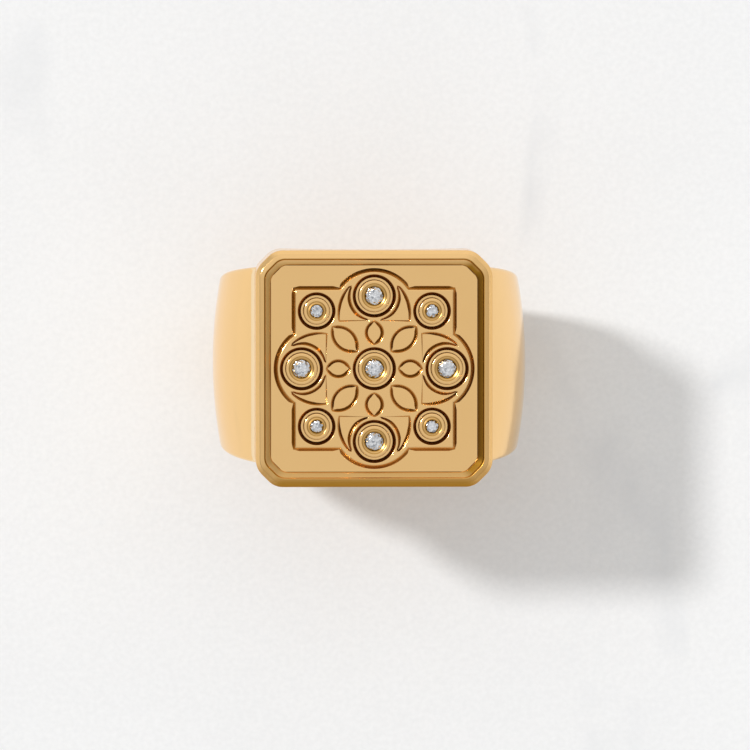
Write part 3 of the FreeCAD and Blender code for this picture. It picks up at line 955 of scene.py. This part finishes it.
def makeCollets(v, edges, s):
    collets = spotPiece("collets", v["collet top"])
    tree, source, sink = newTree("colletRule", v)
    n = numbersOf(tree, source, v)
    points = addNode(tree, "GeometryNodeMeshToPoints", {"Mesh": source.outputs["Geometry"]})
    large = attribute(tree, "large")
    together = tree.nodes.new("GeometryNodeJoinGeometry")
    for name, selection in (("large girdle", large), ("small girdle", 1.0 - large)):
        corners = colletCorners(n, n[name], edges, s)
        grid = addNode(tree, "GeometryNodeMeshGrid", {
            "Size X": 1.0,
            "Size Y": 1.0,
            "Vertices X": source.outputs["around"],
            "Vertices Y": len(corners),
        })
        x, y, _ = placeOf(tree)
        angle = (x + 0.5) * (2 * math.pi)
        step = ((y + 0.5) * (len(corners) - 1)).maths("ROUND")
        radius, height, dark = (chooseByIndex(tree, step, column) for column in zip(*corners))
        # painted shade of each corner, stored on the points
        shaded = addNode(tree, "GeometryNodeStoreNamedAttribute",
                         {"Geometry": grid.outputs["Mesh"], "Name": "shade", "Value": dark},
                         data_type="FLOAT", domain="POINT").outputs[0]
        tube = placeAt(tree, shaded, radius * angle.maths("COSINE"), radius * angle.maths("SINE"), height)
        welded = addNode(tree, "GeometryNodeMergeByDistance", {"Geometry": tube, "Distance": 1e-6})
        placed = addNode(tree, "GeometryNodeInstanceOnPoints", {
            "Points": points.outputs[0],
            "Selection": selection,
            "Instance": welded.outputs[0],
        })
        tree.links.new(placed.outputs[0], together.inputs[0])
    endTree(tree, source, sink, together.outputs[0])
    runTree(collets, tree, v, headGold)
    mendNormals(collets)
    smoothUpTo(collets, edges["smoothUpTo"])
    return collets


def brilliantMesh(v):  # a round brilliant of girdle radius 1, its girdle's upper edge at height 0
    crown, pavilion = slopesOf(v)
    table, foot, flank = v["tableShare"], -2 * v["girdleShare"], math.cos(math.pi / 8)
    star = table + (1 - table) * v["starShare"]
    lower = 1 - v["lowerShare"]
    points = []

    def ring(reach, height, turn):
        first = len(points)
        for step in range(8):
            angle = math.pi / 8 * (turn + 2 * step)
            points.append((reach * math.cos(angle), reach * math.sin(angle), height))
        return list(range(first, first + 8))

    tableRing = ring(table, (1 - table) * crown, 0)
    starRing = ring(star / flank, (1 - star) * crown, 1)
    upper = [ring(1.0, 0.0, turn) for turn in (0, 1)]
    below = [ring(1.0, foot, turn) for turn in (0, 1)]
    lowerRing = ring(lower, foot - (1 - lower * flank) * pavilion, 1)
    points.append((0.0, 0.0, foot - pavilion))
    tip = len(points) - 1
    faces = [tableRing]
    for here in range(8):
        after = (here + 1) % 8
        faces += [
            [tableRing[here], starRing[here - 1], upper[0][here], starRing[here]],
            [tableRing[here], starRing[here], tableRing[after]],
            [starRing[here], upper[0][here], upper[1][here]],
            [starRing[here], upper[1][here], upper[0][after]],
            [upper[0][here], below[0][here], below[1][here], upper[1][here]],
            [upper[1][here], below[1][here], below[0][after], upper[0][after]],
            [lowerRing[here], below[1][here], below[0][here]],
            [lowerRing[here], below[0][after], below[1][here]],
            [tip, lowerRing[here], below[0][here], lowerRing[here - 1]],
        ]
    return points, faces


stoneLook = {
    "index": 2.417,
    "tint": (0.97, 0.98, 1.0, 1.0),
    "facetShade": (0.4, 0.42, 0.46, 1.0),
    "facetShadeRarity": 3.0,  # the higher, the fewer grey facets, which are painted dark reflections
    "roughness": 0.02,
    "mirror": 0.9,  # the share of light that the pavilion throws straight back
    "sparkleScale": 6500.0,  # small facets seen through the crown, per metre
    "sparkleDepth": 0.9,
    "sparkleHeight": 0.00005,  # metres
}


def stoneMaterial(v):
    made, tree, shader, place = newMaterial("brilliantStone")
    facets = addNode(tree, "ShaderNodeTexVoronoi", {"Vector": place, "Scale": v["sparkleScale"]}).outputs
    # grey facets of painted dark reflection, scattered by a Voronoi pattern
    share = splitVector(tree, facets["Color"])[0].maths("POWER", v["facetShadeRarity"])
    setInputs(tree, shader, {
        "Base Color": mixColours(tree, share, v["tint"], v["facetShade"]),
        "Metallic": v["mirror"],
        "Roughness": v["roughness"],
        "IOR": v["index"],
        "Transmission Weight": 1.0,
        "Normal": bump(tree, facets["Distance"], v["sparkleDepth"], v["sparkleHeight"]),
    })
    return made


def makeStones(v, s):
    stones = spotPiece("stones", 0.0)
    points, faces = brilliantMesh(s)
    cut = newPiece("brilliantCut", [Vector(p) * mm for p in points], faces)
    mendNormals(cut)
    inputs = {name: v[name] for name in ("collet top", "large girdle", "small girdle")}
    tree, source, sink = newTree("stoneRule", inputs)
    tree.interface.new_socket("cut", in_out="INPUT", socket_type="NodeSocketObject")
    n = numbersOf(tree, source, inputs)
    large = attribute(tree, "large")
    girdle = pick(large, n["large girdle"], n["small girdle"])
    drop = girdle * ((1 - s["tableShare"]) * slopesOf(s)[0])
    spots = addNode(tree, "GeometryNodeMeshToPoints", {"Mesh": source.outputs["Geometry"]})
    height = addNode(tree, "ShaderNodeCombineXYZ", {"Z": (n["collet top"] - drop) * mm})
    raised = addNode(tree, "GeometryNodeSetPosition",
                     {"Geometry": spots.outputs[0], "Offset": height.outputs[0]})
    shape = addNode(tree, "GeometryNodeObjectInfo", {"Object": source.outputs["cut"]})
    placed = addNode(tree, "GeometryNodeInstanceOnPoints", {
        "Points": raised.outputs[0],
        "Instance": shape.outputs["Geometry"],
        "Scale": girdle,
    })
    endTree(tree, source, sink, placed.outputs[0])
    runTree(stones, tree, dict(inputs, cut=cut), stoneMaterial(stoneLook))
    bpy.data.objects.remove(cut)
    setSmooth(stones, False)
    return stones


collets = makeCollets(settingValues, colletEdges, stoneValues)
handIn(collets, "gold", *[f"collet_{k}" for k in range(1, 10)])
stones = makeStones(settingValues, stoneValues)
handIn(stones, "stone", *[f"stone_{k}" for k in range(1, 10)])


# the floor: a pale stone slab that rises into a low cove far away
floorValues = {
    "height": -10.25,
    "reaches": (20.0, 60.0, 200.0, 600.0),  # radii of its rings
    "coveHeight": 60.0,
    "coveWidth": 90.0,
    "coveSteps": 8,
    "around": 96,
    "roughness": 0.6,
    "specular": 0.2,
    "colour": (0.93, 0.932, 0.934, 1.0),
    "cloud": (0.882, 0.885, 0.888, 1.0),
    "vein": (0.80, 0.81, 0.825, 1.0),
    "contrast": (0.35, 0.65),  # where the cloud ends and the plain colour begins
    "cloudScale": 60.0,  # per metre
    "grainScale": 3200.0,
    "grainShare": 0.6,
    "veinScale": 34.0,
    "veinWidth": 0.022,
    "veinTurn": 0.35,  # radians
    "veinStretch": 0.3,  # of the scale along the veins
    "smudgeScale": 160.0,  # the veins come and go
    "smudgeFrom": 0.42,
    "smudgeGain": 3.0,
    "farShadeColour": (0.55, 0.55, 0.55, 1.0),  # painted shade: the slab darkens far below the ring's lower edge, a dark strip for the gold's bevels to reflect
    "farStart": -150.0,
    "farEnd": -420.0,
}


def slabMaterial(v):
    made, tree, shader, place = newMaterial("paleSlab")
    cloud = noise(tree, place, v["cloudScale"], 4.0) * (1 - v["grainShare"])
    mottle = cloud + noise(tree, place, v["grainScale"], 2.0) * v["grainShare"]
    ramp = addNode(tree, "ShaderNodeValToRGB", {0: mottle})
    for stop, spot, colour in zip(ramp.color_ramp.elements, v["contrast"], (v["cloud"], v["colour"])):
        stop.position, stop.color = spot, colour
    leaning = addNode(tree, "ShaderNodeMapping", {
        "Vector": place,
        "Rotation": (0.0, 0.0, v["veinTurn"]),
        "Scale": (1.0, v["veinStretch"], 1.0),
    }).outputs[0]
    offLine = (noise(tree, leaning, v["veinScale"], 4.0) - 0.5).maths("ABSOLUTE")
    line = (1.0 - offLine / v["veinWidth"]).maths("MAXIMUM", 0.0)
    smudge = (noise(tree, place, v["smudgeScale"], 3.0) - v["smudgeFrom"]) * v["smudgeGain"]
    vein = line * smudge.maths("MAXIMUM", 0.0)
    marble = mixColours(tree, vein, ramp.outputs[0], v["vein"])
    # painted shade: the slab's colour darkens far towards -Y
    far = addNode(tree, "ShaderNodeMapRange", {
        "Value": splitVector(tree, place)[1],
        "From Min": v["farStart"] * mm,
        "From Max": v["farEnd"] * mm,
    }, interpolation_type="SMOOTHSTEP").outputs[0]
    setInputs(tree, shader, {
        "Base Color": mixColours(tree, far, marble, v["farShadeColour"]),
        "Roughness": v["roughness"],
        "Specular IOR Level": v["specular"],
    })
    return made


def makeFloor(v):
    rings = [(reach, 0.0) for reach in v["reaches"]]
    for step in range(1, v["coveSteps"] + 1):
        angle = math.pi / 2 * step / v["coveSteps"]
        reach = v["reaches"][-1] + v["coveWidth"] * math.sin(angle)
        rings.append((reach, v["coveHeight"] * (1 - math.cos(angle))))
    around = v["around"]
    points, faces = [], [list(range(around))]
    for reach, rise in rings:
        for k in range(around):
            angle = 2 * math.pi * k / around
            points.append((reach * math.cos(angle), reach * math.sin(angle), v["height"] + rise))
    for ring in range(len(rings) - 1):
        inner, outer = ring * around, (ring + 1) * around
        for k in range(around):
            after = (k + 1) % around
            faces.append((inner + k, outer + k, outer + after, inner + after))
    slab = newPiece("slab", np.array(points) * mm, faces, material=slabMaterial(v))
    setSmooth(slab, True)


makeFloor(floorValues)
print("floor made")


# light: a soft tent of four walls under a pale ceiling, and one small lamp from the upper left
lightValues = {
    "walls": {  # brightness at each height in degrees
        "right": [(0, 0.95), (9, 0.90), (14, 0.50), (30, 0.50), (45, 0.62), (66, 0.64), (90, 0.74)],
        "left": [(0, 0.95), (9, 0.85), (14, 0.30), (30, 0.32), (45, 0.62), (66, 0.66), (90, 0.74)],
        "top": [(0, 0.95), (9, 0.95), (14, 0.78), (30, 0.78), (45, 0.92), (66, 0.90), (90, 0.74)],
        "bottom": [(0, 0.80), (9, 0.78), (14, 0.68), (30, 0.70), (45, 0.55), (66, 0.68), (90, 0.74)],
    },
    "tint": (0.995, 1.0, 1.0, 1.0),
    "lampStrength": 1.4,
    "lampAngle": 6.0,
    "lampElevation": 51.5,
    "lampAzimuth": 151.0,  # degrees from +X, counterclockwise
    "lampDistance": 0.5,  # metres
}


def makeLight(v):
    world = bpy.data.worlds.new("room")
    scene.world = world
    world.use_nodes = True
    tree = world.node_tree
    x, y, z = splitVector(tree, addNode(tree, "ShaderNodeTexCoord").outputs["Generated"])
    facing = {"right": x, "left": -x, "top": y, "bottom": -y}
    total = 0.0
    for side, levels in v["walls"].items():
        ramp = addNode(tree, "ShaderNodeValToRGB", {0: z})
        ramp.color_ramp.interpolation = "EASE"
        stops = ramp.color_ramp.elements
        while len(stops) < len(levels):
            stops.new(1.0)
        for stop, (height, level) in zip(stops, levels):
            stop.position = math.sin(math.radians(height))
            stop.color = (level, level, level, 1.0)
        towards = facing[side].maths("MAXIMUM", 0.0)
        total = towards.square() * treeNumber(tree, ramp.outputs[0]) + total
    level = total / (x.square() + y.square() + 1e-6)  # so that the zenith isn't divided by nought
    setInputs(tree, tree.nodes["Background"], {"Color": v["tint"], "Strength": level})
    lamp = bpy.data.lights.new("keyLamp", "SUN")
    lamp.energy, lamp.angle = v["lampStrength"], math.radians(v["lampAngle"])
    holder = bpy.data.objects.new("keyLamp", lamp)
    scene.collection.objects.link(holder)
    up, turn = math.radians(v["lampElevation"]), math.radians(v["lampAzimuth"])
    towards = Vector((math.cos(up) * math.cos(turn), math.cos(up) * math.sin(turn), math.sin(up)))
    holder.rotation_mode = "QUATERNION"
    holder.rotation_quaternion = towards.to_track_quat("Z", "Y")
    holder.location = towards * v["lampDistance"]


makeLight(lightValues)
print("light set")
